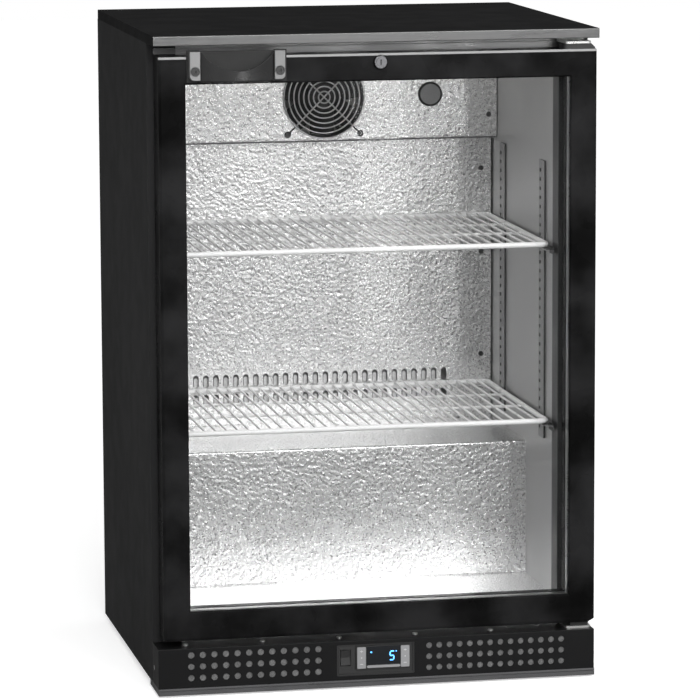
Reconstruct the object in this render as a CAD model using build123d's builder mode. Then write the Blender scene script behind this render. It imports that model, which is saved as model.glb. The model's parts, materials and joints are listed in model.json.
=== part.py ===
from build123d import *
import math
import os

# A one-door undercounter back-bar refrigerator: a foamed steel cabinet with a stepped
# aluminium liner, a hinged double-glazed door, a perforated plinth with the controls,
# two wire shelves, a fan evaporator behind a cover and a condensing unit under the step.
# Millimetres. X to the right of someone facing the door, Y to the back, Z up.
# The origin is on the floor under the centre of the whole machine.

os.makedirs("parts", exist_ok=True)

# --- driving dimensions ---
width = 600.0
depth = 535.0
height = 885.0
sheet = 1.0
half_width = width / 2
half_depth = depth / 2

worktop_thickness = 13.0
worktop_front = -260.0
cabinet_front = -198.0
cabinet_rear = 250.0
door_front = -247.0
door_rear = -209.0
worktop_bottom = height - worktop_thickness

# levels of the base, from the floor up
foot_height = 3.0
rail_top = 12.0
side_panel_bottom = 10.0
plinth_top = 66.0
front_rail_front = -250.0
front_rail_rear = -174.0

# food compartment: the faces of the liner that are seen from inside
liner_half = 260.0
floor_top = 101.0
step_front = -22.0
step_top = 290.0
liner_back = 210.0
ceiling = 835.0
duct_front = 182.0
cover_front = 152.0
cover_bottom = 701.0
machine_bay_front = 18.0
machine_bay_top = 252.0

# door outline and glass opening
door_left = -291.8
door_right = 300.0
door_bottom = 76.3
door_top = 856.5
glass_left = -255.7
glass_right = 263.9
glass_bottom = 115.9
glass_top = 820.0
hinge_x = 282.0
hinge_y = -228.0
pin_radius = 4.0
pin_clearance = 0.05

# evaporator fan and the round plug beside it
fan_x = 7.5
fan_z = 762.5
fan_hole_spacing = 104.8
plug_x = 161.5
plug_z = 763.5

# shelves and the slotted rails that carry them
shelf_front = -176.0
shelf_rear = 180.0
shelf_half = 255.0
shelf_levels = {"upper": 585.8, "lower": 342.8}
shelf_pitch = 15.0
frame_wire = 3.7
rack_wire = 1.6
cross_wire = 1.9
rail_levels = (311.0, 695.0)
shelf_rail_width = 26.0
shelf_rail_thickness = 3.0
shelf_rail_fronts = (-130.0, 99.0)

# control panel in the plinth
panel_left = -57.0
panel_right = 50.0
panel_bottom = 17.5
panel_top = 60.5


def save(builder, label):
    """Label a finished piece and write it as one STEP file."""
    builder.part.label = label
    export_step(builder.part, f"parts/{label}.step")


def slab(x_limits, y_limits, z_limits, mode=Mode.ADD):
    """A rectangular block between pairs of limits, in the part being built."""
    centre = tuple((low + high) / 2 for low, high in (x_limits, y_limits, z_limits))
    size = [high - low for low, high in (x_limits, y_limits, z_limits)]
    with Locations(centre):
        Box(*size, mode=mode)


def prism(plane, points, amount, mode=Mode.ADD):
    """A polygon drawn on a plane and extruded along the plane's normal."""
    with BuildSketch(plane) as outline:
        with BuildLine():
            Polyline(*points, close=True)
        make_face()
    extrude(outline.sketch, amount=amount, mode=mode)


def rod(start, end, radius, mode=Mode.ADD):
    """A round bar between two points."""
    direction = Vector(*end) - Vector(*start)
    with BuildSketch(Plane(origin=start, z_dir=direction)) as section:
        Circle(radius)
    extrude(section.sketch, amount=direction.length, mode=mode)


def mirrored(low, high):
    """The same limits on the other side of X = 0."""
    return (-high, -low)


# --- worktop: a laminated slab with a metal edge strip along the front ---
trim_depth = 2.0
lock_x = 4.8
lock_z = 844.9
cam_slot = ((lock_x - 10.0, lock_x + 22.0), (-237.0, -228.0), (worktop_bottom, worktop_bottom + 6.0))

with BuildPart() as worktop:
    slab((-half_width, half_width), (worktop_front + trim_depth, cabinet_rear), (worktop_bottom, height))
    fillet(worktop.edges().filter_by(Axis.Z).group_by(Axis.Y)[-1], radius=3)
    # blind slot that the lock's cam turns up into
    slab(*cam_slot, mode=Mode.SUBTRACT)
save(worktop, "worktop")

with BuildPart() as worktop_trim:
    slab((-half_width, half_width), (worktop_front, worktop_front + trim_depth), (worktop_bottom, height))
    fillet(worktop_trim.edges().filter_by(Axis.X).group_by(Axis.Y)[0], radius=1.2)
save(worktop_trim, "worktop_trim")

# --- outer shell ---
front_flange_inner = liner_half + sheet

for side, name in ((-1, "side_panel_left"), (1, "side_panel_right")):
    skin = (half_width - sheet, half_width)
    flange = (front_flange_inner, half_width - sheet)
    skin_outline = (
        (cabinet_front, rail_top),
        (front_rail_rear, rail_top),
        (front_rail_rear, side_panel_bottom),
        (cabinet_rear, side_panel_bottom),
        (cabinet_rear, worktop_bottom),
        (cabinet_front, worktop_bottom),
    )
    with BuildPart() as side_panel:
        outer_x = skin[0] if side > 0 else -skin[1]
        prism(Plane.YZ.offset(outer_x), skin_outline, sheet)
        slab(
            flange if side > 0 else mirrored(*flange),
            (cabinet_front, cabinet_front + sheet),
            (plinth_top, worktop_bottom),
        )
    save(side_panel, name)

back_x = (-half_width + sheet, half_width - sheet)
back_y = (cabinet_rear - sheet, cabinet_rear)
back_split = 268.0
pan_top = rail_top + 1.2
gland_x = 215.0
gland_z = 225.0
gland_hole = 10.0

with BuildPart() as back_panel:
    slab(back_x, back_y, (back_split, worktop_bottom))
save(back_panel, "back_panel")

vent_pitch = (170.0, 14.0)
vent_size = (130.0, 6.0)
vent_columns = 3
vent_rows = 12
vent_mid_z = 115.0

with BuildPart() as rear_grille:
    slab(back_x, back_y, (rail_top, back_split))
    with BuildSketch(Plane.XZ.offset(-cabinet_rear)) as vents:
        with Locations((0, vent_mid_z)):
            with GridLocations(*vent_pitch, vent_columns, vent_rows):
                SlotOverall(*vent_size)
        with Locations((gland_x, gland_z)):
            Circle(gland_hole)
    extrude(vents.sketch, amount=sheet, mode=Mode.SUBTRACT)
save(rear_grille, "rear_grille")

plinth_sheet = 1.2
pan_relief = 1.5

with BuildPart() as base_pan:
    slab(
        (-half_width + plinth_sheet, half_width - plinth_sheet),
        (door_front + plinth_sheet, cabinet_rear - sheet),
        (rail_top, pan_top),
    )
    for side in (-1, 1):
        # the pan is a little narrower than the side panels behind the plinth
        slab(
            (side * half_width - pan_relief, side * half_width + pan_relief),
            (cabinet_front, cabinet_rear),
            (rail_top, pan_top),
            mode=Mode.SUBTRACT,
        )
save(base_pan, "base_pan")

rear_rail_half = 285.0
rear_rail_front = 190.0
rail_edge = 1.2
groove_depth = 1.2
groove_z = (8.4, 9.6)

with BuildPart() as base_rails:
    slab((-half_width, half_width), (front_rail_front, front_rail_rear), (foot_height, rail_top))
    chamfer(base_rails.edges().filter_by(Axis.X).group_by(Axis.Y)[0].group_by(Axis.Z)[-1], length=rail_edge)
    # rolled groove along the front
    slab(
        (-half_width, half_width),
        (front_rail_front - 1, front_rail_front + groove_depth),
        groove_z,
        mode=Mode.SUBTRACT,
    )
    slab((-rear_rail_half, rear_rail_half), (rear_rail_front, cabinet_rear - 5), (foot_height, rail_top))
save(base_rails, "base_rails")

foot_radius = 16.0
foot_x = 255.0
foot_y = (-212.0, 218.0)

with BuildPart() as glide_feet:
    for y in foot_y:
        for x in (-foot_x, foot_x):
            with Locations((x, y, foot_height / 2)):
                Cylinder(foot_radius, foot_height)
    chamfer(glide_feet.edges().group_by(Axis.Z)[0], length=1)
save(glide_feet, "glide_feet")

# --- front edge of the cabinet ---
rail_step = 864.0
recess_depth = 7.0
recess_rear = cabinet_front + recess_depth + sheet

with BuildPart() as front_top_rail:
    face_x = (-front_flange_inner, front_flange_inner)
    slab(face_x, (cabinet_front, cabinet_front + sheet), (ceiling + sheet, rail_step))
    # the sheet folds back into a dark recess under the worktop
    slab(face_x, (cabinet_front, recess_rear), (rail_step - sheet, rail_step))
    slab(face_x, (recess_rear - sheet, recess_rear), (rail_step - sheet, worktop_bottom))
save(front_top_rail, "front_top_rail")

cap_x = (-291.0, -261.2)
cap_z = (857.0, 865.0)
cap_thickness = 3.0
cap_corner = 2.0

with BuildPart() as hinge_blank_cap:
    slab(cap_x, (cabinet_front - cap_thickness, cabinet_front), cap_z)
    fillet(hinge_blank_cap.edges().filter_by(Axis.Y), radius=cap_corner)
save(hinge_blank_cap, "hinge_blank_cap")

# --- foamed insulation between the shell and the liner ---
foam_front = cabinet_front + 2 * sheet
foam_outline = (
    (foam_front, plinth_top),
    (machine_bay_front, plinth_top),
    (machine_bay_front, machine_bay_top),
    (cabinet_rear - sheet, machine_bay_top),
    (cabinet_rear - sheet, worktop_bottom),
    (foam_front, worktop_bottom),
)
cavity_outline = (
    (foam_front - 1, floor_top - sheet),
    (step_front + sheet, floor_top - sheet),
    (step_front + sheet, step_top - sheet),
    (liner_back + sheet, step_top - sheet),
    (liner_back + sheet, ceiling + sheet),
    (foam_front - 1, ceiling + sheet),
)
foam_half = half_width - sheet
liner_outer = liner_half + sheet

with BuildPart() as foam_insulation:
    prism(Plane.YZ.offset(-foam_half), foam_outline, 2 * foam_half)
    prism(Plane.YZ.offset(-liner_outer), cavity_outline, 2 * liner_outer, mode=Mode.SUBTRACT)
    recess_z = (rail_step - sheet, worktop_bottom + 1)
    slab(face_x, (foam_front - 1, recess_rear), recess_z, mode=Mode.SUBTRACT)
save(foam_insulation, "foam_insulation")

# --- liner: two side walls and two folded sheets ---
wall_outline = (
    (cabinet_front, floor_top - sheet),
    (step_front + sheet, floor_top - sheet),
    (step_front + sheet, step_top - sheet),
    (liner_back + sheet, step_top - sheet),
    (liner_back + sheet, ceiling + sheet),
    (cabinet_front, ceiling + sheet),
)
for wall_x, name in ((-liner_outer, "liner_left"), (liner_half, "liner_right")):
    with BuildPart() as liner_wall:
        prism(Plane.YZ.offset(wall_x), wall_outline, sheet)
    save(liner_wall, name)

liner_x = (-liner_half, liner_half)

with BuildPart() as liner_back_top:
    slab(liner_x, (cabinet_front, liner_back + sheet), (ceiling, ceiling + sheet))
    slab(liner_x, (liner_back, liner_back + sheet), (step_top, ceiling))
save(liner_back_top, "liner_back_top")

with BuildPart() as liner_floor_step:
    slab(liner_x, (cabinet_front, step_front + sheet), (floor_top - sheet, floor_top))
    slab(liner_x, (step_front, step_front + sheet), (floor_top - sheet, step_top))
    slab(liner_x, (step_front, liner_back + sheet), (step_top - sheet, step_top))
    slab(liner_x, (cabinet_front, cabinet_front + sheet), (plinth_top, floor_top))
    # rolled edges at the nose and the foot of the step
    nose = liner_floor_step.edges().filter_by(Axis.X)
    fillet(nose.filter_by_position(Axis.Y, step_front - 0.1, step_front + 0.1)
           .filter_by_position(Axis.Z, step_top - 0.1, step_top + 0.1), radius=3)
save(liner_floor_step, "liner_floor_step")

screw_shank = 2.0
duct_screws = [(side * 243.0, z) for side in (-1, 1) for z in (653.0, 532.0, 383.0)]
cover_screws = [(side * 247.0, 733.0) for side in (-1, 1)]

# --- air duct panel behind the shelves, with two rows of outlet slots ---
duct_half = 258.0
slot_width = 8.2
slot_height = 18.5
slot_pitch = 14.5
slot_count = 26
slot_centre_x = 6.5
slot_rows = (355.5, 327.5)

with BuildPart() as duct_panel:
    duct_sheet = (duct_front, duct_front + sheet)
    slab((-duct_half, duct_half), duct_sheet, (step_top, cover_bottom))
    for side in (-1, 1):
        edge = (duct_half - sheet, duct_half)
        slab(edge if side > 0 else mirrored(*edge), (duct_front, liner_back), (step_top, cover_bottom))
    with BuildSketch(Plane.XZ.offset(-duct_front)) as outlets:
        for row in slot_rows:
            with Locations((slot_centre_x, row)):
                with GridLocations(slot_pitch, 1, slot_count, 1):
                    SlotOverall(slot_height, slot_width, rotation=90)
        with Locations(*duct_screws):
            Circle(screw_shank)
    extrude(outlets.sketch, amount=-sheet, mode=Mode.SUBTRACT)
save(duct_panel, "duct_panel")

# --- evaporator cover with the fan opening, the guard and the plug ---
cover_half = 259.0
fan_opening = 58.0
plug_radius = 17.5
plug_hole = 14.0

with BuildPart() as evaporator_cover:
    slab((-cover_half, cover_half), (cover_front, cover_front + sheet), (cover_bottom, ceiling))
    slab((-cover_half, cover_half), (cover_front, duct_front + sheet), (cover_bottom, cover_bottom + sheet))
    with BuildSketch(Plane.XZ.offset(-cover_front)) as cover_holes:
        with Locations((fan_x, fan_z)):
            Circle(fan_opening)
        with Locations((plug_x, plug_z)):
            Circle(plug_hole)
        with Locations(*cover_screws):
            Circle(screw_shank)
        with Locations((fan_x, fan_z)):
            with GridLocations(fan_hole_spacing, fan_hole_spacing, 2, 2):
                Circle(screw_shank)
    extrude(cover_holes.sketch, amount=-sheet, mode=Mode.SUBTRACT)
save(evaporator_cover, "evaporator_cover")

plug_proud = 2.5
plug_rim = 3.0
plug_dish = 0.8
plug_reach = 8.0

with BuildPart() as cover_plug:
    with BuildSketch(Plane.XZ.offset(-cover_front)):
        with Locations((plug_x, plug_z)):
            Circle(plug_radius)
    extrude(amount=plug_proud)
    fillet(cover_plug.edges().group_by(Axis.Y)[0], radius=1)
    with BuildSketch(Plane.XZ.offset(-cover_front + plug_proud)):
        with Locations((plug_x, plug_z)):
            Circle(plug_radius - plug_rim)
    extrude(amount=-plug_dish, mode=Mode.SUBTRACT)
    with BuildSketch(Plane.XZ.offset(-cover_front)):
        with Locations((plug_x, plug_z)):
            Circle(plug_hole)
    extrude(amount=-plug_reach)
save(cover_plug, "cover_plug")

guard_wire = 1.1
guard_spoke_y = cover_front - guard_wire - 0.1
guard_ring_y = guard_spoke_y - 1.6
guard_inner_ring = 8.3
guard_ring_pitch = 7.1
guard_rings = 8
guard_loop = 3.6
loop_reach = fan_hole_spacing / 2

with BuildPart() as fan_guard:
    for diagonal in (-1, 1):
        reach = loop_reach - guard_loop * math.sqrt(0.5)
        rod(
            (fan_x - reach, guard_spoke_y, fan_z - diagonal * reach),
            (fan_x + reach, guard_spoke_y, fan_z + diagonal * reach),
            guard_wire,
        )
    ring_plane = Plane(origin=(fan_x, guard_ring_y, fan_z), z_dir=(0, -1, 0))
    with Locations(ring_plane):
        for ring in range(guard_rings):
            Torus(guard_inner_ring + guard_ring_pitch * ring, guard_wire)
    loop_plane = Plane(origin=(fan_x, guard_spoke_y, fan_z), z_dir=(0, -1, 0))
    with Locations(loop_plane):
        with GridLocations(fan_hole_spacing, fan_hole_spacing, 2, 2):
            Torus(guard_loop, guard_wire)
save(fan_guard, "fan_guard")

# --- evaporator fan: square frame with its motor, and the turning rotor ---
frame_half = 59.5
frame_front = cover_front + sheet
frame_depth = 38.0
frame_rear = frame_front + frame_depth
bore_radius = 57.0
motor_radius = 21.0
motor_length = 9.0
shaft_radius = 2.0

with BuildPart() as evaporator_fan_frame:
    slab(
        (fan_x - frame_half, fan_x + frame_half),
        (frame_front, frame_rear),
        (fan_z - frame_half, fan_z + frame_half),
    )
    rod((fan_x, frame_front, fan_z), (fan_x, frame_rear, fan_z), bore_radius, mode=Mode.SUBTRACT)
    with BuildSketch(Plane(origin=(fan_x, frame_front, fan_z), z_dir=(0, 1, 0))) as corner_holes:
        with GridLocations(fan_hole_spacing, fan_hole_spacing, 2, 2):
            Circle(screw_shank)
    extrude(corner_holes.sketch, amount=frame_depth, mode=Mode.SUBTRACT)
    with Locations(Plane(origin=(fan_x, frame_rear - 2, fan_z), z_dir=(0, -1, 0))):
        with PolarLocations(0, 2, start_angle=30):
            Box(2 * bore_radius + 2, 5, 4)
    rod((fan_x, frame_rear - motor_length, fan_z), (fan_x, frame_rear, fan_z), motor_radius)
    rod(
        (fan_x, frame_rear - motor_length, fan_z),
        (fan_x, frame_rear - 1, fan_z),
        shaft_radius + pin_clearance,
        mode=Mode.SUBTRACT,
    )
save(evaporator_fan_frame, "evaporator_fan_frame")


def fan_rotor(label, centre, front, hub_radius, tip_radius, length, shaft_end, blades):
    """A hub with twisted paddles and a shaft, turning about an axis along Y."""
    with BuildPart() as rotor:
        x, z = centre
        rod((x, front, z), (x, front + length, z), hub_radius)
        rod((x, front, z), (x, shaft_end, z), shaft_radius)
        fillet(rotor.edges().group_by(Axis.Y)[0], radius=2)
        blade_span = tip_radius - hub_radius + 2
        blade_mid = hub_radius - 2 + blade_span / 2
        with Locations(Plane(origin=(x, front + length / 2, z), z_dir=(0, -1, 0))):
            with PolarLocations(blade_mid, blades):
                Box(blade_span, 2 * length * 0.9, 1.6, rotation=(38, 0, 0))
        # trim the paddles to a cylinder of the tip radius and the rotor's length
        with BuildSketch(Plane(origin=(x, front + 1, z), z_dir=(0, 1, 0))) as swept:
            Circle(2 * tip_radius)
            Circle(tip_radius, mode=Mode.SUBTRACT)
        extrude(swept.sketch, amount=length, mode=Mode.SUBTRACT)
    save(rotor, label)


fan_rotor("evaporator_fan", (fan_x, fan_z), frame_front + 4, 20.0, 54.5, 21.0, frame_rear - 2, 7)

# --- evaporator coil beside the fan ---
coil_x = (-250.0, -60.0)
coil_y = (158.0, 206.0)
coil_z = (714.0, 826.0)
fin_thickness = 0.6


def finned_coil(label, x_limits, y_limits, z_limits, fins, rows, columns, tube_radius):
    """A block of thin fins on straight tubes that run along X."""
    with BuildPart() as coil:
        y_mid = sum(y_limits) / 2
        z_mid = sum(z_limits) / 2
        fin_size = (fin_thickness, y_limits[1] - y_limits[0], z_limits[1] - z_limits[0])
        spacing = (x_limits[1] - x_limits[0] - fin_thickness) / (fins - 1)
        for index in range(fins):
            with Locations((x_limits[0] + fin_thickness / 2 + index * spacing, y_mid, z_mid)):
                Box(*fin_size)
        tube_plane = Plane(origin=(x_limits[0] - 4, y_mid, z_mid), x_dir=(0, 1, 0), z_dir=(1, 0, 0))
        with BuildSketch(tube_plane) as tubes:
            with GridLocations(fin_size[1] / columns, fin_size[2] / rows, columns, rows):
                Circle(tube_radius)
        extrude(tubes.sketch, amount=x_limits[1] - x_limits[0] + 8)
    save(coil, label)


finned_coil("evaporator_coil", coil_x, coil_y, coil_z, 28, 4, 2, 4.8)

# --- lamp under the front of the ceiling ---
lamp_half = 215.0
lamp_y = (-184.0, -160.0)
lamp_bottom = 817.0
lamp_corner = 7.0

with BuildPart() as light_bar:
    slab((-lamp_half, lamp_half), lamp_y, (lamp_bottom, ceiling))
    fillet(light_bar.edges().filter_by(Axis.X).group_by(Axis.Z)[0], radius=lamp_corner)
save(light_bar, "light_bar")

# --- slotted shelf rails and the shelf supports ---
rail_slot_pitch = 12.7
rail_slot_width = 8.0
rail_slot_height = 5.0
rail_slot_inset = 6.0
rail_slots = 29
rail_face = liner_half - shelf_rail_thickness

with BuildPart() as shelf_rails:
    for side in (-1, 1):
        for front in shelf_rail_fronts:
            rail_x = (rail_face, liner_half)
            slab(
                rail_x if side > 0 else mirrored(*rail_x),
                (front, front + shelf_rail_width),
                rail_levels,
            )
            slot_plane = Plane(
                origin=(
                    side * rail_face,
                    front + shelf_rail_width - rail_slot_inset,
                    sum(rail_levels) / 2,
                ),
                x_dir=(0, 1, 0),
                z_dir=(side, 0, 0),
            )
            with BuildSketch(slot_plane) as slots:
                with GridLocations(1, rail_slot_pitch, 1, rail_slots):
                    Rectangle(rail_slot_width, rail_slot_height)
            extrude(slots.sketch, amount=2, mode=Mode.SUBTRACT)
save(shelf_rails, "shelf_rails")

support_y = (-190.0, 121.0)
support_face = rail_face - 0.2
support_leg = 11.0
support_lip = 2.0
support_drop = 8.0
shelf_rest_gap = 0.3

with BuildPart() as shelf_supports:
    for level in shelf_levels.values():
        ledge_top = level - frame_wire - shelf_rest_gap
        for side in (-1, 1):
            ledge_x = (support_face - support_leg, support_face)
            upright_x = (support_face - sheet, support_face)
            slab(
                ledge_x if side > 0 else mirrored(*ledge_x),
                support_y,
                (ledge_top - sheet, ledge_top),
            )
            slab(
                upright_x if side > 0 else mirrored(*upright_x),
                support_y,
                (ledge_top - support_drop, ledge_top + support_lip),
            )
save(shelf_supports, "shelf_supports")

# --- wire shelves ---
shelf_corner = 8.0
cross_wires_y = (-38.0, 62.0)
cross_drop = 1.0

for name, level in shelf_levels.items():
    with BuildPart() as shelf:
        frame_x = shelf_half - frame_wire
        frame_y = (shelf_front + frame_wire, shelf_rear - frame_wire)
        corners = [
            (-frame_x, frame_y[0], level),
            (frame_x, frame_y[0], level),
            (frame_x, frame_y[1], level),
            (-frame_x, frame_y[1], level),
        ]
        with BuildLine() as frame_path:
            FilletPolyline(*corners, close=True, radius=shelf_corner)
        with BuildSketch(Plane(origin=(0, frame_y[0], level), z_dir=(1, 0, 0))) as frame_section:
            Circle(frame_wire)
        sweep(frame_section.sketch, path=frame_path.line)
        rack_level = level + frame_wire - rack_wire
        wires = int(2 * frame_x / shelf_pitch)
        for index in range(1, wires):
            wire_x = -frame_x + index * 2 * frame_x / wires
            rod((wire_x, frame_y[0], rack_level), (wire_x, frame_y[1], rack_level), rack_wire)
        for cross_y in cross_wires_y:
            rod((-frame_x, cross_y, level - cross_drop), (frame_x, cross_y, level - cross_drop), cross_wire)
    save(shelf, f"shelf_{name}")

# --- plinth: folded and perforated front panel ---
hole_patterns = (
    # first column, pitch, columns, lowest row, row spacing, radius
    (-255.5, 15.74, 12, 25.4, 15.6, 4.4),
    (70.1, 14.15, 14, 24.1, 15.2, 4.1),
)
flange_screw_y = -226.0
flange_screw_x = [-260.0 + 105.0 * index for index in range(5)]
side_screw_y = -210.0
side_screw_z = 34.0
flush_screw_radius = 3.5

with BuildPart() as grille_panel:
    slab((-half_width, half_width), (door_front, door_front + plinth_sheet), (rail_top, plinth_top))
    slab((-half_width, half_width), (door_front, cabinet_front), (plinth_top - plinth_sheet, plinth_top))
    for side in (-1, 1):
        return_x = (half_width - plinth_sheet, half_width)
        slab(
            return_x if side > 0 else mirrored(*return_x),
            (door_front, cabinet_front),
            (rail_top, plinth_top),
        )
    with BuildSketch(Plane.XZ.offset(-door_front)) as perforations:
        for first, pitch, columns, low_row, row_step, radius in hole_patterns:
            with Locations((first + pitch * (columns - 1) / 2, low_row + row_step)):
                with GridLocations(pitch, row_step, columns, 3):
                    Circle(radius)
        with Locations(((panel_left + panel_right) / 2, (panel_bottom + panel_top) / 2)):
            RectangleRounded(panel_right - panel_left, panel_top - panel_bottom, 2)
    extrude(perforations.sketch, amount=-plinth_sheet, mode=Mode.SUBTRACT)
    fillet(grille_panel.edges().filter_by(Axis.X).group_by(Axis.Y)[0].group_by(Axis.Z)[-1], radius=1)
    for x in flange_screw_x:
        rod((x, flange_screw_y, plinth_top - 2), (x, flange_screw_y, plinth_top + 1), screw_shank,
            mode=Mode.SUBTRACT)
    for side in (-1, 1):
        rod(
            (side * (half_width - 2), side_screw_y, side_screw_z),
            (side * (half_width + 1), side_screw_y, side_screw_z),
            flush_screw_radius,
            mode=Mode.SUBTRACT,
        )
save(grille_panel, "grille_panel")

filter_front = door_front + plinth_sheet
filter_thickness = 4.0
filter_x = ((-266.0, -72.0), (60.0, 266.0))
filter_z = (15.0, 62.0)

with BuildPart() as intake_filter:
    for limits in filter_x:
        slab(limits, (filter_front, filter_front + filter_thickness), filter_z)
save(intake_filter, "intake_filter")

# --- control panel with the lamp switch, and the electronic thermostat ---
panel_front = -244.0
panel_rear = -239.0
plate_x = (-54.5, -32.5)
plate_z = (20.5, 59.8)
rocker_x = (-51.7, -37.7)
rocker_z = 42.15
rocker_pivot_y = -242.0
rocker_gap = 0.4
rocker_hole_half = 11.3
rocker_pin = 1.0
rocker_pin_play = 0.2
switch_body_front = -237.0

thermostat_x = (-30.5, 43.5)
thermostat_z = (25.5, 57.5)
bezel_front = -246.5
body_margin = 1.5
key_width = 11.8
key_height = 29.4
key_depth = 1.8
key_proud = 0.7
key_gap = 0.3
screen_x = (-16.4, 30.4)
screen_z = (31.5, 56.5)
screen_thickness = 1.0
key_centres = {"left": -23.3, "right": 36.8}
key_z = 41.5

panel_gap = 0.2
rim_rear = panel_front + 4.5
switch_wall = 1.2
switch_rear = -214.0

with BuildPart() as control_panel:
    slab(
        (panel_left + panel_gap, panel_right - panel_gap),
        (panel_front, panel_rear),
        (panel_bottom + panel_gap, panel_top - panel_gap),
    )
    # rim that lies behind the plinth's sheet, round the recess
    slab(
        (panel_left - 4, panel_right + 4),
        (filter_front, rim_rear),
        (panel_bottom - 3, panel_top + 3),
    )
    slab(
        (panel_left + 2, panel_right - 2),
        (filter_front - 1, panel_front),
        (panel_bottom + 2, panel_top - 2),
        mode=Mode.SUBTRACT,
    )
    slab(plate_x, (panel_front - 1, panel_front), plate_z)
    slab(
        (rocker_x[0] - rocker_gap, rocker_x[1] + rocker_gap),
        (panel_front - 2, panel_rear + 1),
        (rocker_z - rocker_hole_half, rocker_z + rocker_hole_half),
        mode=Mode.SUBTRACT,
    )
    rod(
        (rocker_x[0] - switch_wall - rocker_pin_play, rocker_pivot_y, rocker_z),
        (rocker_x[1] + switch_wall + rocker_pin_play, rocker_pivot_y, rocker_z),
        rocker_pin + pin_clearance,
        mode=Mode.SUBTRACT,
    )
    # body of the switch behind the rocker
    switch_x = (rocker_x[0] - switch_wall, rocker_x[1] + switch_wall)
    switch_half = rocker_hole_half + switch_wall
    slab(switch_x, (panel_rear, switch_rear), (rocker_z - switch_half, rocker_z + switch_half))
    slab(
        (rocker_x[0] - rocker_gap, rocker_x[1] + rocker_gap),
        (panel_rear, switch_body_front),
        (rocker_z - rocker_hole_half, rocker_z + rocker_hole_half),
        mode=Mode.SUBTRACT,
    )
    # opening for the thermostat's body
    slab(
        (thermostat_x[0] + body_margin, thermostat_x[1] - body_margin),
        (panel_front - 1, panel_rear + 2),
        (thermostat_z[0] + body_margin, thermostat_z[1] - body_margin),
        mode=Mode.SUBTRACT,
    )
save(control_panel, "control_panel")

rocker_tilt = 8.0
rocker_end = 10.3

with BuildPart() as light_rocker:
    profile_plane = Plane(
        origin=(rocker_x[0], rocker_pivot_y, rocker_z), x_dir=(0, 1, 0), z_dir=(1, 0, 0)
    ).rotated((0, 0, rocker_tilt))
    with BuildSketch(profile_plane) as rocker_profile:
        with BuildLine():
            Polyline((-1.9, -rocker_end), (-3.6, -rocker_end), (-2.4, 0), (-3.6, rocker_end),
                     (-1.9, rocker_end))
            ThreePointArc((-1.9, rocker_end), (2.2, 0), (-1.9, -rocker_end))
        make_face()
    extrude(rocker_profile.sketch, amount=rocker_x[1] - rocker_x[0])
    rod(
        (rocker_x[0] - switch_wall, rocker_pivot_y, rocker_z),
        (rocker_x[1] + switch_wall, rocker_pivot_y, rocker_z),
        rocker_pin,
    )
save(light_rocker, "light_rocker")

with BuildPart() as controller_body:
    slab(thermostat_x, (bezel_front, panel_front), thermostat_z)
    fillet(controller_body.edges().filter_by(Axis.Y), radius=1.5)
    slab(
        (thermostat_x[0] + body_margin, thermostat_x[1] - body_margin),
        (panel_front, -192.0),
        (thermostat_z[0] + body_margin, thermostat_z[1] - body_margin),
    )
    for centre in key_centres.values():
        slab(
            (centre - key_width / 2 - key_gap, centre + key_width / 2 + key_gap),
            (bezel_front - 1, bezel_front + key_depth),
            (key_z - key_height / 2 - key_gap, key_z + key_height / 2 + key_gap),
            mode=Mode.SUBTRACT,
        )
    slab(screen_x, (bezel_front, bezel_front + screen_thickness), screen_z, mode=Mode.SUBTRACT)
save(controller_body, "controller_body")

with BuildPart() as controller_screen:
    slab(screen_x, (bezel_front, bezel_front + screen_thickness), screen_z)
save(controller_screen, "controller_screen")

key_travel = 0.6

for name, centre in key_centres.items():
    with BuildPart() as key:
        slab(
            (centre - key_width / 2, centre + key_width / 2),
            (bezel_front - key_proud, bezel_front + key_depth - key_travel - 0.1),
            (key_z - key_height / 2, key_z + key_height / 2),
        )
        fillet(key.edges().filter_by(Axis.Y), radius=1.2)
    save(key, f"controller_key_{name}")

# --- screws that hold the plinth, the duct panel, the cover and the guard ---

def pan_head(origin, direction, radius, head, shank):
    """A pan head standing on a face, with its shank through it."""
    outward = Vector(*direction)
    start = Vector(*origin)
    rod(start, start + outward * head, radius)
    rod(start, start - outward * shank, screw_shank)


screw_head = (3.6, 1.8)
guard_screw_head = (3.4, 1.6)

with BuildPart() as pan_head_screws:
    for x in flange_screw_x:
        pan_head((x, flange_screw_y, plinth_top), (0, 0, 1), *screw_head, plinth_sheet)
    for x, z in duct_screws:
        pan_head((x, duct_front, z), (0, -1, 0), *screw_head, 4)
    for x, z in cover_screws:
        pan_head((x, cover_front, z), (0, -1, 0), *screw_head, 4)
    for x in (-1, 1):
        for z in (-1, 1):
            loop_front = guard_spoke_y - guard_wire - 0.05
            loop_centre = (fan_x + x * loop_reach, loop_front, fan_z + z * loop_reach)
            pan_head(loop_centre, (0, -1, 0), *guard_screw_head, 6)
    for side in (-1, 1):
        # flush screws through the sides of the plinth
        rod(
            (side * half_width, side_screw_y, side_screw_z),
            (side * (half_width - plinth_sheet), side_screw_y, side_screw_z),
            flush_screw_radius,
        )
save(pan_head_screws, "pan_head_screws")

# --- condensing unit in the machine bay under the step ---
compressor_x = 150.0
compressor_y = 150.0
shell_radius = 68.0
shell_bottom = 29.0
shell_shoulder = 145.0
shell_top = 190.0
shell_corner = 18.0
mount_top = 25.0
# the top is a spherical cap from the shoulder to the crown
dome_centre = (shell_top**2 - shell_shoulder**2 - shell_radius**2) / (2 * (shell_top - shell_shoulder))
dome_radius = shell_top - dome_centre
dome_mid_angle = (math.atan2(shell_shoulder - dome_centre, shell_radius) + math.pi / 2) / 2
dome_mid = (dome_radius * math.cos(dome_mid_angle), dome_centre + dome_radius * math.sin(dome_mid_angle))

shell_plane = Plane(origin=(compressor_x, compressor_y, 0), x_dir=(1, 0, 0), z_dir=(0, -1, 0))

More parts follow.
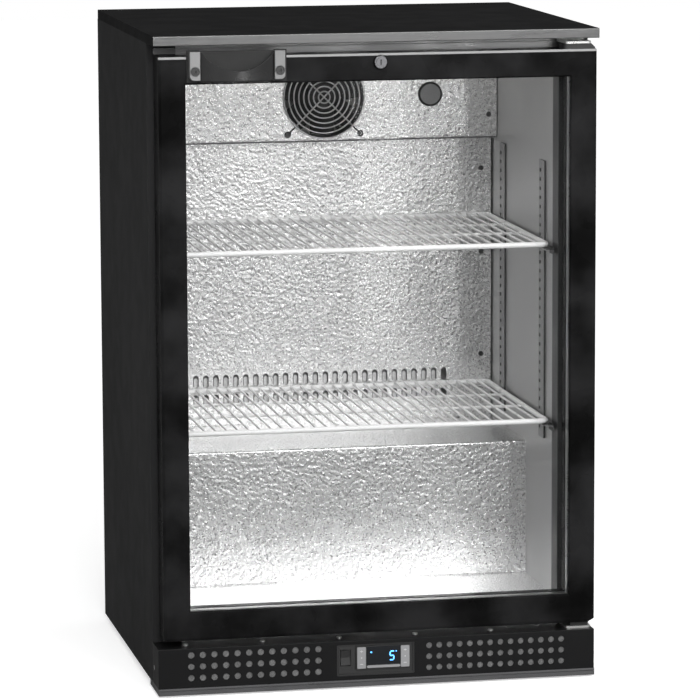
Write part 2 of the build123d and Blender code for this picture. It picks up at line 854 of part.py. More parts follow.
with BuildPart() as compressor:
    with BuildSketch(shell_plane) as shell:
        with BuildLine():
            Line((0, shell_bottom), (shell_radius - shell_corner, shell_bottom))
            RadiusArc(
                (shell_radius - shell_corner, shell_bottom),
                (shell_radius, shell_bottom + shell_corner),
                -shell_corner,
            )
            Polyline(
                (shell_radius, shell_bottom + shell_corner),
                (shell_radius, 98),
                (shell_radius + 5, 98),
                (shell_radius + 5, 103),
                (shell_radius, 103),
                (shell_radius, shell_shoulder),
            )
            ThreePointArc((shell_radius, shell_shoulder), dome_mid, (0, shell_top))
            Line((0, shell_top), (0, shell_bottom))
        make_face()
    revolve(shell.sketch, axis=Axis((compressor_x, compressor_y, 0), (0, 0, 1)))
    slab(
        (compressor_x - 88, compressor_x + 88),
        (compressor_y - 62, compressor_y + 62),
        (mount_top, mount_top + 4.5),
    )
    slab(
        (compressor_x + 55, compressor_x + 92),
        (compressor_y - 26, compressor_y + 26),
        (74, 136),
    )
save(compressor, "compressor")

with BuildPart() as compressor_mounts:
    with Locations((compressor_x, compressor_y, (pan_top + mount_top) / 2)):
        with GridLocations(150, 100, 2, 2):
            Cylinder(12, mount_top - pan_top)
save(compressor_mounts, "compressor_mounts")

condenser_x = (-282.0, -72.0)
condenser_y = (40.0, 84.0)
condenser_z = (pan_top, 213.2)
condenser_rows = 6
condenser_columns = 2
condenser_tube = 4.8
finned_coil(
    "condenser_coil", condenser_x, condenser_y, condenser_z, 30,
    condenser_rows, condenser_columns, condenser_tube,
)

shroud_x = sum(condenser_x) / 2
shroud_z = sum(condenser_z) / 2
shroud_radius = 88.0
shroud_front = condenser_y[1] + 2
ring_rear = shroud_front + 42
condenser_motor_front = ring_rear - 6

with BuildPart() as condenser_fan_shroud:
    slab(condenser_x, (shroud_front, shroud_front + 2), condenser_z)
    ring_ends = ((shroud_x, shroud_front, shroud_z), (shroud_x, ring_rear, shroud_z))
    rod(*ring_ends, shroud_radius + 2)
    rod(*ring_ends, shroud_radius, mode=Mode.SUBTRACT)
    with Locations(Plane(origin=(shroud_x, ring_rear - 3, shroud_z), z_dir=(0, -1, 0))):
        with PolarLocations(0, 2, start_angle=45):
            Box(2 * shroud_radius + 2, 12, 6)
    rod((shroud_x, condenser_motor_front, shroud_z), (shroud_x, ring_rear + 40, shroud_z), 36)
    rod(
        (shroud_x, condenser_motor_front, shroud_z),
        (shroud_x, ring_rear + 30, shroud_z),
        shaft_radius + pin_clearance,
        mode=Mode.SUBTRACT,
    )
save(condenser_fan_shroud, "condenser_fan_shroud")

fan_rotor(
    "condenser_fan", (shroud_x, shroud_z), shroud_front + 4, 24.0, 84.0, 26.0, ring_rear + 28, 5
)

line_radius = 3.0
coil_row = (condenser_z[1] - condenser_z[0]) / condenser_rows
coil_column = (condenser_y[1] - condenser_y[0]) / condenser_columns
coil_end = condenser_x[1] + 4
upper_tube = (sum(condenser_y) / 2 + coil_column / 2, shroud_z + coil_row * (condenser_rows - 1) / 2)
lower_tube = (sum(condenser_y) / 2 - coil_column / 2, shroud_z - coil_row * (condenser_rows - 1) / 2)
drier_x = -14.0
drier_z = (60.0, 150.0)


def tube(points, radius, bend):
    """A bent copper tube through the given points."""
    with BuildLine() as route:
        FilletPolyline(*points, radius=bend)
    start = Vector(*points[0])
    with BuildSketch(Plane(origin=start, z_dir=Vector(*points[1]) - start)) as section:
        Circle(radius)
    sweep(section.sketch, path=route.line)


with BuildPart() as refrigerant_lines:
    # discharge line from the compressor to the top of the condenser
    tube(
        (
            (compressor_x - shell_radius - 0.2, compressor_y, 120),
            (36, compressor_y, 120),
            (36, compressor_y, 232),
            (-40, compressor_y, 232),
            (-40, upper_tube[0], 232),
            (-40, upper_tube[0], upper_tube[1]),
            (coil_end, upper_tube[0], upper_tube[1]),
        ),
        line_radius,
        12,
    )
    # suction line from the compressor up through the insulation
    tube(
        (
            (compressor_x, compressor_y + shell_radius + 0.2, 120),
            (compressor_x, 236, 120),
            (compressor_x, 236, machine_bay_top),
        ),
        line_radius,
        12,
    )
    # liquid line, filter drier and capillary
    tube(
        (
            (coil_end, lower_tube[0], lower_tube[1]),
            (drier_x, lower_tube[0], lower_tube[1]),
            (drier_x, lower_tube[0], drier_z[0] + 2),
        ),
        line_radius,
        12,
    )
    rod((drier_x, lower_tube[0], drier_z[0]), (drier_x, lower_tube[0], drier_z[1]), 9.5)
    rod((drier_x, lower_tube[0], drier_z[1] - 1), (drier_x, lower_tube[0], machine_bay_top), 1.5)
save(refrigerant_lines, "refrigerant_lines")

# --- cable gland and spacers on the back ---
cable_radius = 4.0

with BuildPart() as cable_gland:
    with BuildSketch(Plane.XZ.offset(-cabinet_rear)) as hexagon:
        with Locations((gland_x, gland_z)):
            RegularPolygon(14, 6)
    extrude(hexagon.sketch, amount=-6)
    rod((gland_x, cabinet_rear + 6, gland_z), (gland_x, cabinet_rear + 16, gland_z), 12)
    fillet(cable_gland.edges().group_by(Axis.Y)[-1], radius=3)
    rod((gland_x, cabinet_rear - 8, gland_z), (gland_x, cabinet_rear, gland_z), gland_hole)
    rod(
        (gland_x, cabinet_rear - 8, gland_z),
        (gland_x, cabinet_rear + 16, gland_z),
        cable_radius,
        mode=Mode.SUBTRACT,
    )
save(cable_gland, "cable_gland")

with BuildPart() as rear_spacers:
    for side in (-1, 1):
        bar_x = (228.0, 252.0)
        slab(bar_x if side > 0 else mirrored(*bar_x), (cabinet_rear, half_depth), (770.0, 850.0))
    chamfer(rear_spacers.faces().sort_by(Axis.Y)[-2:].edges(), length=3)
save(rear_spacers, "rear_spacers")

# --- hinges: a zinc bracket with a pin above and below the door ---
bracket_thickness = 3.0
pin_reach = 10.0
leg_y = (cabinet_front - bracket_thickness, cabinet_front)
top_plate = (863.8, 863.8 + bracket_thickness)
bottom_plate = (plinth_top, plinth_top + bracket_thickness)
top_bracket_x = (257.0, 293.0)
bottom_bracket_x = (263.0, 298.0)
top_bush_x = (255.0, 299.0)
top_bush_y = (-242.0, -212.0)
bottom_bush_x = (269.0, 294.0)
bottom_bush_y = (-238.0, -217.0)

with BuildPart() as hinge_bracket_top:
    slab(top_bracket_x, (-245.0, cabinet_front), top_plate)
    fillet(hinge_bracket_top.edges().filter_by(Axis.Z).group_by(Axis.Y)[0], radius=4)
    slab(top_bracket_x, leg_y, (top_plate[1], worktop_bottom))
    rod((hinge_x, hinge_y, door_top - pin_reach), (hinge_x, hinge_y, top_plate[0]), pin_radius)
save(hinge_bracket_top, "hinge_bracket_top")

with BuildPart() as hinge_bracket_bottom:
    slab(bottom_bracket_x, (-235.0, cabinet_front), bottom_plate)
    fillet(hinge_bracket_bottom.edges().filter_by(Axis.Z).group_by(Axis.Y)[0], radius=3)
    slab(bottom_bracket_x, leg_y, (bottom_plate[1], door_bottom - 1))
    rod((hinge_x, hinge_y, bottom_plate[1]), (hinge_x, hinge_y, door_bottom + pin_reach), pin_radius)
save(hinge_bracket_bottom, "hinge_bracket_bottom")

pin_hole = pin_radius + pin_clearance

with BuildPart() as hinge_bushes:
    slab(top_bush_x, top_bush_y, (door_top, top_plate[0] - 0.5))
    fillet(hinge_bushes.edges().filter_by(Axis.Z).group_by(Axis.X)[0], radius=7)
    chamfer(hinge_bushes.edges().filter_by(Axis.Y).sort_by_distance((299, -227, 863))[0], length=5)
    bush_bottom = bottom_plate[1] + 0.3
    slab(bottom_bush_x, bottom_bush_y, (bush_bottom, door_bottom))
    rod((hinge_x, hinge_y, bush_bottom), (hinge_x, hinge_y, door_bottom), pin_hole, mode=Mode.SUBTRACT)
    rod((hinge_x, hinge_y, door_top), (hinge_x, hinge_y, door_top + 12), pin_hole, mode=Mode.SUBTRACT)
save(hinge_bushes, "hinge_bushes")

# --- door frame: four mitred extrusions round a double glazing unit ---
overlap = 10.0
unit_front = -243.0
pane = 4.0
unit_depth = 20.0
unit_gap = 0.3
channel_y = (unit_front - unit_gap, unit_front + unit_depth + unit_gap)
lip_bevel = 2.0
edge_bevel = 3.5
edge_bevel_depth = 1.4
outer = {"left": door_left, "right": door_right, "bottom": door_bottom, "top": door_top}
inner = {"left": glass_left, "right": glass_right, "bottom": glass_bottom, "top": glass_top}
outer_corners = [(outer[x], outer[z]) for x, z in
                 (("left", "bottom"), ("right", "bottom"), ("right", "top"), ("left", "top"))]
inner_corners = [(inner[x], inner[z]) for x, z in
                 (("left", "bottom"), ("right", "bottom"), ("right", "top"), ("left", "top"))]
collar_radius = 9.5
barrel_radius = 6.0
sleeve_radius = 8.0
cam_y = (-234.5, -231.5)
cam_gap = 1.0
cam_reach = 30.0
sleeve_end = cam_y[0] - 2.0
handle_screw_x = (-244.6, -131.6)
handle_screw_z = 837.6
handle_screw_radius = 2.5
handle_screw_reach = 8.0

# corner cut off over the lower hinge
clipped_corner = ((door_right, door_bottom), (door_right, door_bottom + 5), (door_right - 9, door_bottom))
door_pieces = ("door_rail_bottom", "door_stile_right", "door_rail_top", "door_stile_left")
for index, name in enumerate(door_pieces):
    following = (index + 1) % 4
    outline = (
        outer_corners[index],
        outer_corners[following],
        inner_corners[following],
        inner_corners[index],
    )
    along = Axis.X if index % 2 == 0 else Axis.Z
    with BuildPart() as frame_piece:
        prism(Plane.XZ.offset(-door_rear), outline, door_rear - door_front)
        front_face = frame_piece.faces().sort_by(Axis.Y)[0]
        front_edges = front_face.edges().filter_by(along)
        inner_edge = front_edges.sort_by_distance((4, door_front, 465))[0]
        chamfer(inner_edge, length=lip_bevel)
        front_face = frame_piece.faces().sort_by(Axis.Y)[0]
        outer_edge = front_face.edges().filter_by(along).sort_by_distance((4, door_front, 465))[-1]
        chamfer(outer_edge, length=edge_bevel, length2=edge_bevel_depth, reference=front_face)
        slab(
            (glass_left - overlap, glass_right + overlap),
            channel_y,
            (glass_bottom - overlap, glass_top + overlap),
            mode=Mode.SUBTRACT,
        )
        if name == "door_rail_top":
            rod((hinge_x, hinge_y, door_top - pin_reach - 0.5), (hinge_x, hinge_y, door_top), pin_hole,
                mode=Mode.SUBTRACT)
            lock_axis = ((lock_x, door_front, lock_z), (lock_x, sleeve_end + 1, lock_z))
            rod(*lock_axis, sleeve_radius, mode=Mode.SUBTRACT)
            slab(
                (lock_x - 8, lock_x + cam_reach + 3),
                (cam_y[0] - cam_gap, cam_y[1] + cam_gap),
                (lock_z - 7, door_top),
                mode=Mode.SUBTRACT,
            )
            for x in handle_screw_x:
                shank_end = (x, door_front + handle_screw_reach, handle_screw_z)
                rod((x, door_front, handle_screw_z), shank_end, handle_screw_radius, mode=Mode.SUBTRACT)
        if name == "door_rail_bottom":
            rod((hinge_x, hinge_y, door_bottom), (hinge_x, hinge_y, door_bottom + pin_reach + 0.5), pin_hole,
                mode=Mode.SUBTRACT)
            prism(
                Plane.XZ.offset(-door_rear),
                clipped_corner,
                door_rear - door_front,
                mode=Mode.SUBTRACT,
            )
        if name == "door_stile_right":
            prism(
                Plane.XZ.offset(-door_rear),
                clipped_corner,
                door_rear - door_front,
                mode=Mode.SUBTRACT,
            )
    save(frame_piece, name)

pane_margin = overlap - unit_gap
pane_x = (glass_left - pane_margin, glass_right + pane_margin)
pane_z = (glass_bottom - pane_margin, glass_top + pane_margin)

with BuildPart() as glass_panes:
    for front in (unit_front, unit_front + unit_depth - pane):
        slab(pane_x, (front, front + pane), pane_z)
    chamfer(glass_panes.edges().filter_by(Axis.Y), length=1)
save(glass_panes, "glass_panes")

spacer_outset = 8.0
spacer_y = (unit_front + pane, unit_front + unit_depth - pane)

with BuildPart() as glass_spacer:
    slab(
        (glass_left - spacer_outset, glass_right + spacer_outset),
        spacer_y,
        (glass_bottom - spacer_outset, glass_top + spacer_outset),
    )
    slab((glass_left, glass_right), spacer_y, (glass_bottom, glass_top), mode=Mode.SUBTRACT)
save(glass_spacer, "glass_spacer")

# --- magnetic gasket: a broad foot on the door and a narrower bellows ---
gasket_half = 278.0
gasket_z = (84.0, 850.0)
gasket_y = (door_rear, door_rear + 4.0, cabinet_front - 0.2)
gasket_width = 12.0
bellows_inset = 2.0

with BuildPart() as door_gasket:
    for front, rear, inset in ((gasket_y[0], gasket_y[1], 0), (gasket_y[1], gasket_y[2], bellows_inset)):
        outside = gasket_half - inset
        slab((-outside, outside), (front, rear), (gasket_z[0] + inset, gasket_z[1] - inset))
        inside = gasket_half - gasket_width + inset
        slab(
            (-inside, inside),
            (front, rear),
            (gasket_z[0] + gasket_width - inset, gasket_z[1] - gasket_width + inset),
            mode=Mode.SUBTRACT,
        )
save(door_gasket, "door_gasket")

# --- pull handle: a moulded cup between two screwed end plates ---
cup_left = -237.5
cup_right = -138.5
cup_bottom = 822.8
cup_top = 863.6
cup_side_front = -254.0
cup_wall = 3.0
cup_floor = 828.8
scoop_radius = 60.0
scoop_low = 838.6
cup_mid = (cup_left + cup_right) / 2
end_width = 14.0
flange_reach = 3.0
flange_depth = 1.6
flange_top = cup_top + 1.2
lip_edge = 0.9

with BuildPart() as handle_body:
    with BuildSketch(Plane.XY.offset(cup_bottom)) as cup:
        with BuildLine():
            Polyline((cup_left, cup_side_front), (cup_left, door_front), (cup_right, door_front),
                     (cup_right, cup_side_front))
            ThreePointArc((cup_right, cup_side_front), (cup_mid, -half_depth), (cup_left, cup_side_front))
        make_face()
    extrude(cup.sketch, amount=cup_top - cup_bottom)
    fillet(handle_body.faces().sort_by(Axis.Z)[0].edges().sort_by(Axis.Y)[0], radius=3)
    with BuildSketch(Plane.XY.offset(cup_floor)) as pocket:
        add(offset(cup.sketch, amount=-cup_wall).moved(Location((0, 0, cup_floor - cup_bottom))))
    extrude(pocket.sketch, amount=cup_top - cup_floor, mode=Mode.SUBTRACT)
    # the lip dips in the middle, to let fingers in behind it
    rod(
        (cup_mid, -half_depth - 1, scoop_low + scoop_radius),
        (cup_mid, door_front - cup_wall, scoop_low + scoop_radius),
        scoop_radius,
        mode=Mode.SUBTRACT,
    )
    chamfer(handle_body.edges().sort_by_distance((cup_mid, -half_depth, scoop_low))[0], length=lip_edge)
    # thin flange that frames the end plates
    flange_left = cup_left - end_width - flange_reach
    flange_right = cup_right + end_width + flange_reach
    for x_limits in ((flange_left, cup_left), (cup_right, flange_right)):
        slab(x_limits, (door_front - flange_depth, door_front), (cup_bottom, flange_top))
    for x in handle_screw_x:
        flange_hole = ((x, door_front - flange_depth, handle_screw_z), (x, door_front, handle_screw_z))
        rod(*flange_hole, handle_screw_radius, mode=Mode.SUBTRACT)
save(handle_body, "handle_body")

end_front = -257.0
end_rear = door_front - flange_depth
end_bottom = 825.8
head_radius = 5.6
head_height = 3.0
socket_radius = 2.4
socket_depth = 2.0
counterbore_radius = 6.4
counterbore_depth = 3.5

with BuildPart() as handle_end_plates:
    for x_limits in ((cup_left - end_width, cup_left), (cup_right, cup_right + end_width)):
        slab(x_limits, (end_front, end_rear), (end_bottom, cup_top))
    outer_edges = handle_end_plates.edges().filter_by(Axis.Y).group_by(Axis.Z)[0].sort_by(Axis.X)
    fillet([outer_edges[0], outer_edges[-1]], radius=6)
    fillet(handle_end_plates.edges().group_by(Axis.Y)[0].filter_by(Axis.Z), radius=1)
    for x in handle_screw_x:
        rod((x, end_front, handle_screw_z), (x, end_front + counterbore_depth, handle_screw_z),
            counterbore_radius, mode=Mode.SUBTRACT)
        rod((x, end_front, handle_screw_z), (x, end_rear, handle_screw_z), handle_screw_radius,
            mode=Mode.SUBTRACT)
save(handle_end_plates, "handle_end_plates")

with BuildPart() as handle_screws:
    for x in handle_screw_x:
        seat = end_front + counterbore_depth
        rod((x, seat, handle_screw_z), (x, seat - head_height, handle_screw_z), head_radius)
        shank_end = (x, door_front + handle_screw_reach, handle_screw_z)
        rod((x, seat, handle_screw_z), shank_end, handle_screw_radius)
        socket_plane = Plane(origin=(x, seat - head_height, handle_screw_z), z_dir=(0, 1, 0))
        with BuildSketch(socket_plane) as socket:
            RegularPolygon(socket_radius, 6)
        extrude(socket.sketch, amount=socket_depth, mode=Mode.SUBTRACT)
save(handle_screws, "handle_screws")

# --- lock: a collar in the top rail and a barrel that turns a cam up into the worktop ---
collar_front = door_front - 4.0
barrel_proud = 0.8
cam_half = 4.0
key_slot_half = (0.7, 3.6)
key_slot_depth = 3.8

with BuildPart() as lock_housing:
    rod((lock_x, collar_front, lock_z), (lock_x, door_front, lock_z), collar_radius)
    fillet(lock_housing.edges().group_by(Axis.Y)[0], radius=1.5)
    rod((lock_x, door_front, lock_z), (lock_x, sleeve_end, lock_z), sleeve_radius)
    rod(
        (lock_x, collar_front, lock_z),
        (lock_x, sleeve_end, lock_z),
        barrel_radius + pin_clearance,
        mode=Mode.SUBTRACT,
    )
save(lock_housing, "lock_housing")

with BuildPart() as lock_barrel:
    rod((lock_x, collar_front - barrel_proud, lock_z), (lock_x, cam_y[1], lock_z), barrel_radius)
    slab((lock_x, lock_x + cam_reach), cam_y, (lock_z - cam_half, lock_z + cam_half))
    slab(
        (lock_x - key_slot_half[0], lock_x + key_slot_half[0]),
        (collar_front - 1, collar_front - barrel_proud + key_slot_depth),
        (lock_z - key_slot_half[1], lock_z + key_slot_half[1]),
        mode=Mode.SUBTRACT,
    )
save(lock_barrel, "lock_barrel")
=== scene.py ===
import json
import math

import bmesh
import bpy
import numpy as np
from mathutils import Matrix, Vector, noise
from mathutils.geometry import delaunay_2d_cdt


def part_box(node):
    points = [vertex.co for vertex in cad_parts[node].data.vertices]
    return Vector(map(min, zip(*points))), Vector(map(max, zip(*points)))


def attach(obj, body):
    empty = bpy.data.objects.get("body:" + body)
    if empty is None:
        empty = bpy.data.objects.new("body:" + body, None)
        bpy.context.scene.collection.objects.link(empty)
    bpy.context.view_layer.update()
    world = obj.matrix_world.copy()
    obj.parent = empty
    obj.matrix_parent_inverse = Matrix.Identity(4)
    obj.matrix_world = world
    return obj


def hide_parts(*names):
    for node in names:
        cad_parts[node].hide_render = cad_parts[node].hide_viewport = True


# The looks of a one-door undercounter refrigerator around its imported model: finishes for
# every node, embossed aluminium sheets in place of the plain ones, the figures of the
# thermostat's display, and a white studio. Metres, X right, Y to the back, Z up.

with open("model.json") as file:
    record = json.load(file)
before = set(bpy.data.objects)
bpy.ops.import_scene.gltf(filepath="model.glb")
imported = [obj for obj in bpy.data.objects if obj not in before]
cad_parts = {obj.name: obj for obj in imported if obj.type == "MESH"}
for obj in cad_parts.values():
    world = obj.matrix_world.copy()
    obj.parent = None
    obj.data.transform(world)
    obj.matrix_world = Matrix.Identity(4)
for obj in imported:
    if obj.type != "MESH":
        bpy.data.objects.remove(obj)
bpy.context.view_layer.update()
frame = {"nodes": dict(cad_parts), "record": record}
MM = 0.001

# outlet slots of the air duct panel
OUTLET_PITCH = 14.5 * MM
OUTLET_OFFSET = 0.25 * MM
OUTLET_ARCH_LEVELS = (0.3570, 0.3290)
OUTLET_ROW_HEIGHT = 12 * MM
BAFFLE_X = (-0.2, 0.179)

# upright front of the step in the liner's floor
STEP_FRONT = -22.0 * MM

# the liner walls' dark front strip ends here, and the handle's pocket, painted darker as shade, starts here
LINER_STRIP_Y = (-0.171, -0.165)
POCKET_Y = (-0.2538, -0.2530)


# --- finishes -----------------------------------------------------------------------

class Finish:
    """One Principled material, with short ways to add nodes to it."""

    def __init__(self, name, **constants):
        self.material = bpy.data.materials.new(name)
        self.material.use_nodes = True
        tree = self.material.node_tree
        self.nodes = tree.nodes
        self.links = tree.links
        self.shader = self.nodes["Principled BSDF"]
        self.points = self.nodes.new("ShaderNodeTexCoord").outputs["Object"]
        for socket, value in constants.items():
            self.shader.inputs[socket.replace("_", " ")].default_value = value

    def node(self, kind, inputs, **settings):
        made = self.nodes.new(kind)
        for key, value in settings.items():
            setattr(made, key, value)
        for key, value in inputs.items():
            if isinstance(value, bpy.types.NodeSocket):
                self.links.new(value, made.inputs[key])
            else:
                made.inputs[key].default_value = value
        return made.outputs

    def stretched(self, stretch):
        mapped = self.node("ShaderNodeMapping", {"Vector": self.points, "Scale": stretch})
        return mapped["Vector"]

    def noise(self, size, detail=3.0, stretch=(1, 1, 1), distortion=0.0):
        """Soft noise whose blots are about this many metres across."""
        inputs = {
            "Vector": self.stretched(stretch),
            "Scale": 1 / size,
            "Detail": detail,
            "Distortion": distortion,
        }
        return self.node("ShaderNodeTexNoise", inputs)["Fac"]

    def cells(self, size, feature="F1", output="Distance"):
        inputs = {"Vector": self.stretched((1, 1, 1)), "Scale": 1 / size}
        return self.node("ShaderNodeTexVoronoi", inputs, feature=feature)[output]

    def span(self, value, low, high, at=(0.3, 0.7)):
        """A value from low to high as the input goes from at[0] to at[1]."""
        inputs = {"Value": value, "From Min": at[0], "From Max": at[1], "To Min": low, "To Max": high}
        return self.node("ShaderNodeMapRange", inputs, interpolation_type="SMOOTHSTEP")["Result"]

    def maths(self, operation, first, second):
        return self.node("ShaderNodeMath", {0: first, 1: second}, operation=operation)["Value"]

    def along(self, axis):
        """The coordinate of the shaded point along one axis of the piece."""
        return self.node("ShaderNodeSeparateXYZ", {"Vector": self.points})[axis]

    def blended(self, factor, first, second):
        """A colour between two others."""
        made = self.nodes.new("ShaderNodeMix")
        made.data_type = "RGBA"
        colour_inputs = [socket for socket in made.inputs if socket.type == "RGBA"]
        self.links.new(factor, made.inputs[0])
        for socket, value in zip(colour_inputs, (first, second)):
            if isinstance(value, bpy.types.NodeSocket):
                self.links.new(value, socket)
            else:
                socket.default_value = (*value, 1)
        return next(socket for socket in made.outputs if socket.type == "RGBA")

    def drive(self, socket, value):
        self.links.new(value, self.shader.inputs[socket])

    def bump(self, *layers):
        """Layers of (height value, depth in metres), the coarsest first."""
        normal = None
        for height, depth in layers:
            inputs = {"Height": height, "Distance": depth, "Strength": 1.0}
            if normal is not None:
                inputs["Normal"] = normal
            normal = self.node("ShaderNodeBump", inputs)["Normal"]
        self.drive("Normal", normal)


def shade(colour, factor):
    return tuple(channel * factor for channel in colour)


def coated(name, colour, roughness, grain=0.0012, grain_depth=0.02, smudge=0.03, vary=0.12,
           **constants):
    """Paint, lacquer or plastic: fine orange peel, soft smudges and faint colour drift."""
    finish = Finish(name, **constants)
    drift = finish.span(finish.noise(0.35, detail=4.0), 0.0, 1.0)
    smudges = finish.noise(0.05, detail=5.0, distortion=0.3)
    finish.drive("Base Color", finish.blended(drift, shade(colour, 1 - vary), shade(colour, 1 + vary)))
    finish.drive("Roughness", finish.span(smudges, roughness - smudge, roughness + smudge))
    finish.bump((finish.noise(grain, detail=2.0), grain_depth * MM))
    return finish.material


def brushed(name, colour, roughness, stretch=(0.02, 1, 1)):
    """Rolled or brushed metal: long fine lines, cloudy handling marks."""
    finish = Finish(name, Metallic=1.0)
    lines = finish.noise(0.0011, detail=3.0, stretch=stretch)
    clouds = finish.noise(0.06, detail=5.0, distortion=0.4)
    tone = finish.maths("MULTIPLY", finish.span(lines, 0.75, 1.0), finish.span(clouds, 0.8, 1.0))
    finish.drive("Base Color", finish.blended(tone, shade(colour, 0.45), colour))
    finish.drive("Roughness", finish.maths("ADD", finish.span(lines, -0.06, 0.06),
                                           finish.span(clouds, roughness - 0.05, roughness + 0.07)))
    finish.bump((lines, 0.02 * MM))
    return finish.material


def galvanised(name):
    """Zinc-coated sheet with its crystal spangle."""
    finish = Finish(name, Metallic=1.0)
    spangle = finish.cells(0.014, output="Color")
    level = finish.node("ShaderNodeSeparateColor", {"Color": spangle})["Red"]
    haze = finish.noise(0.05, detail=5.0)
    finish.drive("Base Color", finish.blended(level, (0.34, 0.35, 0.36), (0.56, 0.57, 0.58)))
    finish.drive("Roughness", finish.maths("ADD", finish.span(level, 0.26, 0.42, at=(0, 1)),
                                           finish.span(haze, -0.04, 0.08)))
    finish.bump((finish.noise(0.0015, detail=3.0), 0.015 * MM))
    return finish.material


def stucco(name):
    """Embossed bright aluminium: the large pebbles are geometry, the small ones are here."""
    finish = Finish(name, Metallic=1.0)
    pebbles = finish.cells(0.0046, feature="SMOOTH_F1")
    grain = finish.noise(0.0021, detail=3.0, distortion=0.3)
    clouds = finish.noise(0.16, detail=4.0)
    tone = finish.maths("MULTIPLY", finish.span(grain, 0.75, 1.0), finish.span(clouds, 0.85, 1.0))
    finish.drive("Base Color", finish.blended(tone, (0.36, 0.36, 0.36), (0.90, 0.90, 0.90)))
    finish.drive("Roughness", finish.span(grain, 0.24, 0.36))
    finish.bump((pebbles, 0.7 * MM), (grain, 0.22 * MM))
    return finish.material


def liner_wall(name):
    """Smooth anodised liner sheet with rolling lines, a soft bloom and a dark strip at its front edge."""
    finish = Finish(name, Metallic=0.85)
    lines = finish.noise(0.0016, detail=2.0, stretch=(1, 1, 0.03))
    bloom = finish.noise(0.12, detail=5.0, distortion=0.3)
    sheet = finish.blended(bloom, (0.50, 0.50, 0.50), (0.66, 0.66, 0.66))
    rim = finish.span(finish.along("Y"), 0.0, 1.0, at=LINER_STRIP_Y)
    finish.drive("Base Color", finish.blended(rim, (0.09, 0.09, 0.092), sheet))
    finish.drive("Roughness", finish.maths("ADD", finish.span(lines, -0.03, 0.03),
                                           finish.span(bloom, 0.34, 0.46)))
    finish.bump((bloom, 0.12 * MM), (lines, 0.008 * MM))
    return finish.material


def punched_rail(name):
    """Pale rail with painted shadow: its punched slots and its foot on the wall are coloured dark in place of
    the shade there.
    """
    finish = Finish(name, Metallic=0.7)
    lines = finish.noise(0.0016, detail=2.0, stretch=(1, 1, 0.03))
    bloom = finish.noise(0.05, detail=4.0)
    face = finish.blended(bloom, (0.30, 0.30, 0.30), (0.42, 0.42, 0.42))
    depth = finish.maths("ABSOLUTE", finish.along("X"), 0.0)
    wall_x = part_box("shelf_rails")[1].x
    # painted shadow: within about 2 mm of the wall the rail is coloured near black
    dark = finish.span(depth, 0.0, 1.0, at=(wall_x - 2.4 * MM, wall_x - 1.6 * MM))
    finish.drive("Base Color", finish.blended(dark, face, (0.06, 0.06, 0.06)))
    finish.drive("Roughness", finish.span(bloom, 0.34, 0.46))
    finish.bump((lines, 0.01 * MM))
    return finish.material


def louvred(name):
    """Bright sheet seen through the outlet slots, in shadow under the arched end of each slot."""
    finish = Finish(name, Metallic=0.8)
    grain = finish.noise(0.0021, detail=3.0, distortion=0.3)
    sheet = finish.blended(grain, (0.35, 0.35, 0.35), (0.9, 0.9, 0.9))
    turns = finish.maths("DIVIDE", finish.maths("SUBTRACT", finish.along("X"), OUTLET_OFFSET), OUTLET_PITCH)
    side = finish.maths("MULTIPLY", finish.maths("PINGPONG", turns, 0.5), OUTLET_PITCH)
    shadow = None
    for arch_z in OUTLET_ARCH_LEVELS:
        rise = finish.maths("MAXIMUM", finish.maths("SUBTRACT", finish.along("Z"), arch_z), 0.0)
        in_row = finish.maths("LESS_THAN", rise, OUTLET_ROW_HEIGHT)
        reach = finish.maths("POWER", finish.maths("ADD", finish.maths("MULTIPLY", side, side),
                                                   finish.maths("MULTIPLY", rise, rise)), 0.5)
        edge = finish.span(reach, 0.0, 1.0, at=(2.0 * MM, 3.6 * MM))
        arch = finish.maths("MULTIPLY", edge, in_row)
        shadow = arch if shadow is None else finish.maths("MAXIMUM", shadow, arch)
    finish.drive("Base Color", finish.blended(shadow, sheet, (0.16, 0.16, 0.16)))
    finish.drive("Roughness", finish.span(grain, 0.3, 0.45))
    finish.bump((grain, 0.3 * MM))
    return finish.material


def lacquered_frame(name):
    """Satin black door frame, with a painted highlight: a pale band on the bevel of its top edge."""
    finish = Finish(name, Specular_IOR_Level=0.04)
    drift = finish.span(finish.noise(0.09, detail=4.0), 0.0, 1.0)
    smudges = finish.noise(0.05, detail=5.0, distortion=0.3)
    low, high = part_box("door_rail_top")
    raised = finish.span(finish.along("Z"), 0.0, 1.0, at=(high.z - 3.3 * MM, high.z - 2.6 * MM))
    outer = finish.span(finish.along("Y"), 1.0, 0.0, at=(low.y + 1.5 * MM, low.y + 1.8 * MM))
    # painted highlight: the bevel of the top rail's front edge is coloured pale grey in place of the light it
    # catches
    painted_bevel_highlight = finish.maths("MULTIPLY", raised, outer)
    lacquer = finish.blended(drift, (0.002, 0.002, 0.002), (0.016, 0.016, 0.0165))
    finish.drive("Base Color", finish.blended(painted_bevel_highlight, lacquer, (0.3, 0.3, 0.3)))
    finish.drive("Roughness", finish.span(smudges, 0.2, 0.4))
    finish.bump((finish.noise(0.0012, detail=2.0), 0.02 * MM))
    return finish.material


def plated_screws(name):
    """Bright zinc plating in front, turning dark grey further back inside the cabinet."""
    finish = Finish(name, Metallic=1.0)
    film = finish.noise(0.012, detail=4.0)
    bright = finish.blended(film, (0.62, 0.62, 0.61), (0.78, 0.78, 0.77))
    within = finish.span(finish.along("Y"), 0.0, 1.0, at=(-0.12, -0.08))
    finish.drive("Base Color", finish.blended(within, bright, (0.1, 0.1, 0.1)))
    finish.drive("Roughness", finish.span(film, 0.27, 0.36))
    return finish.material


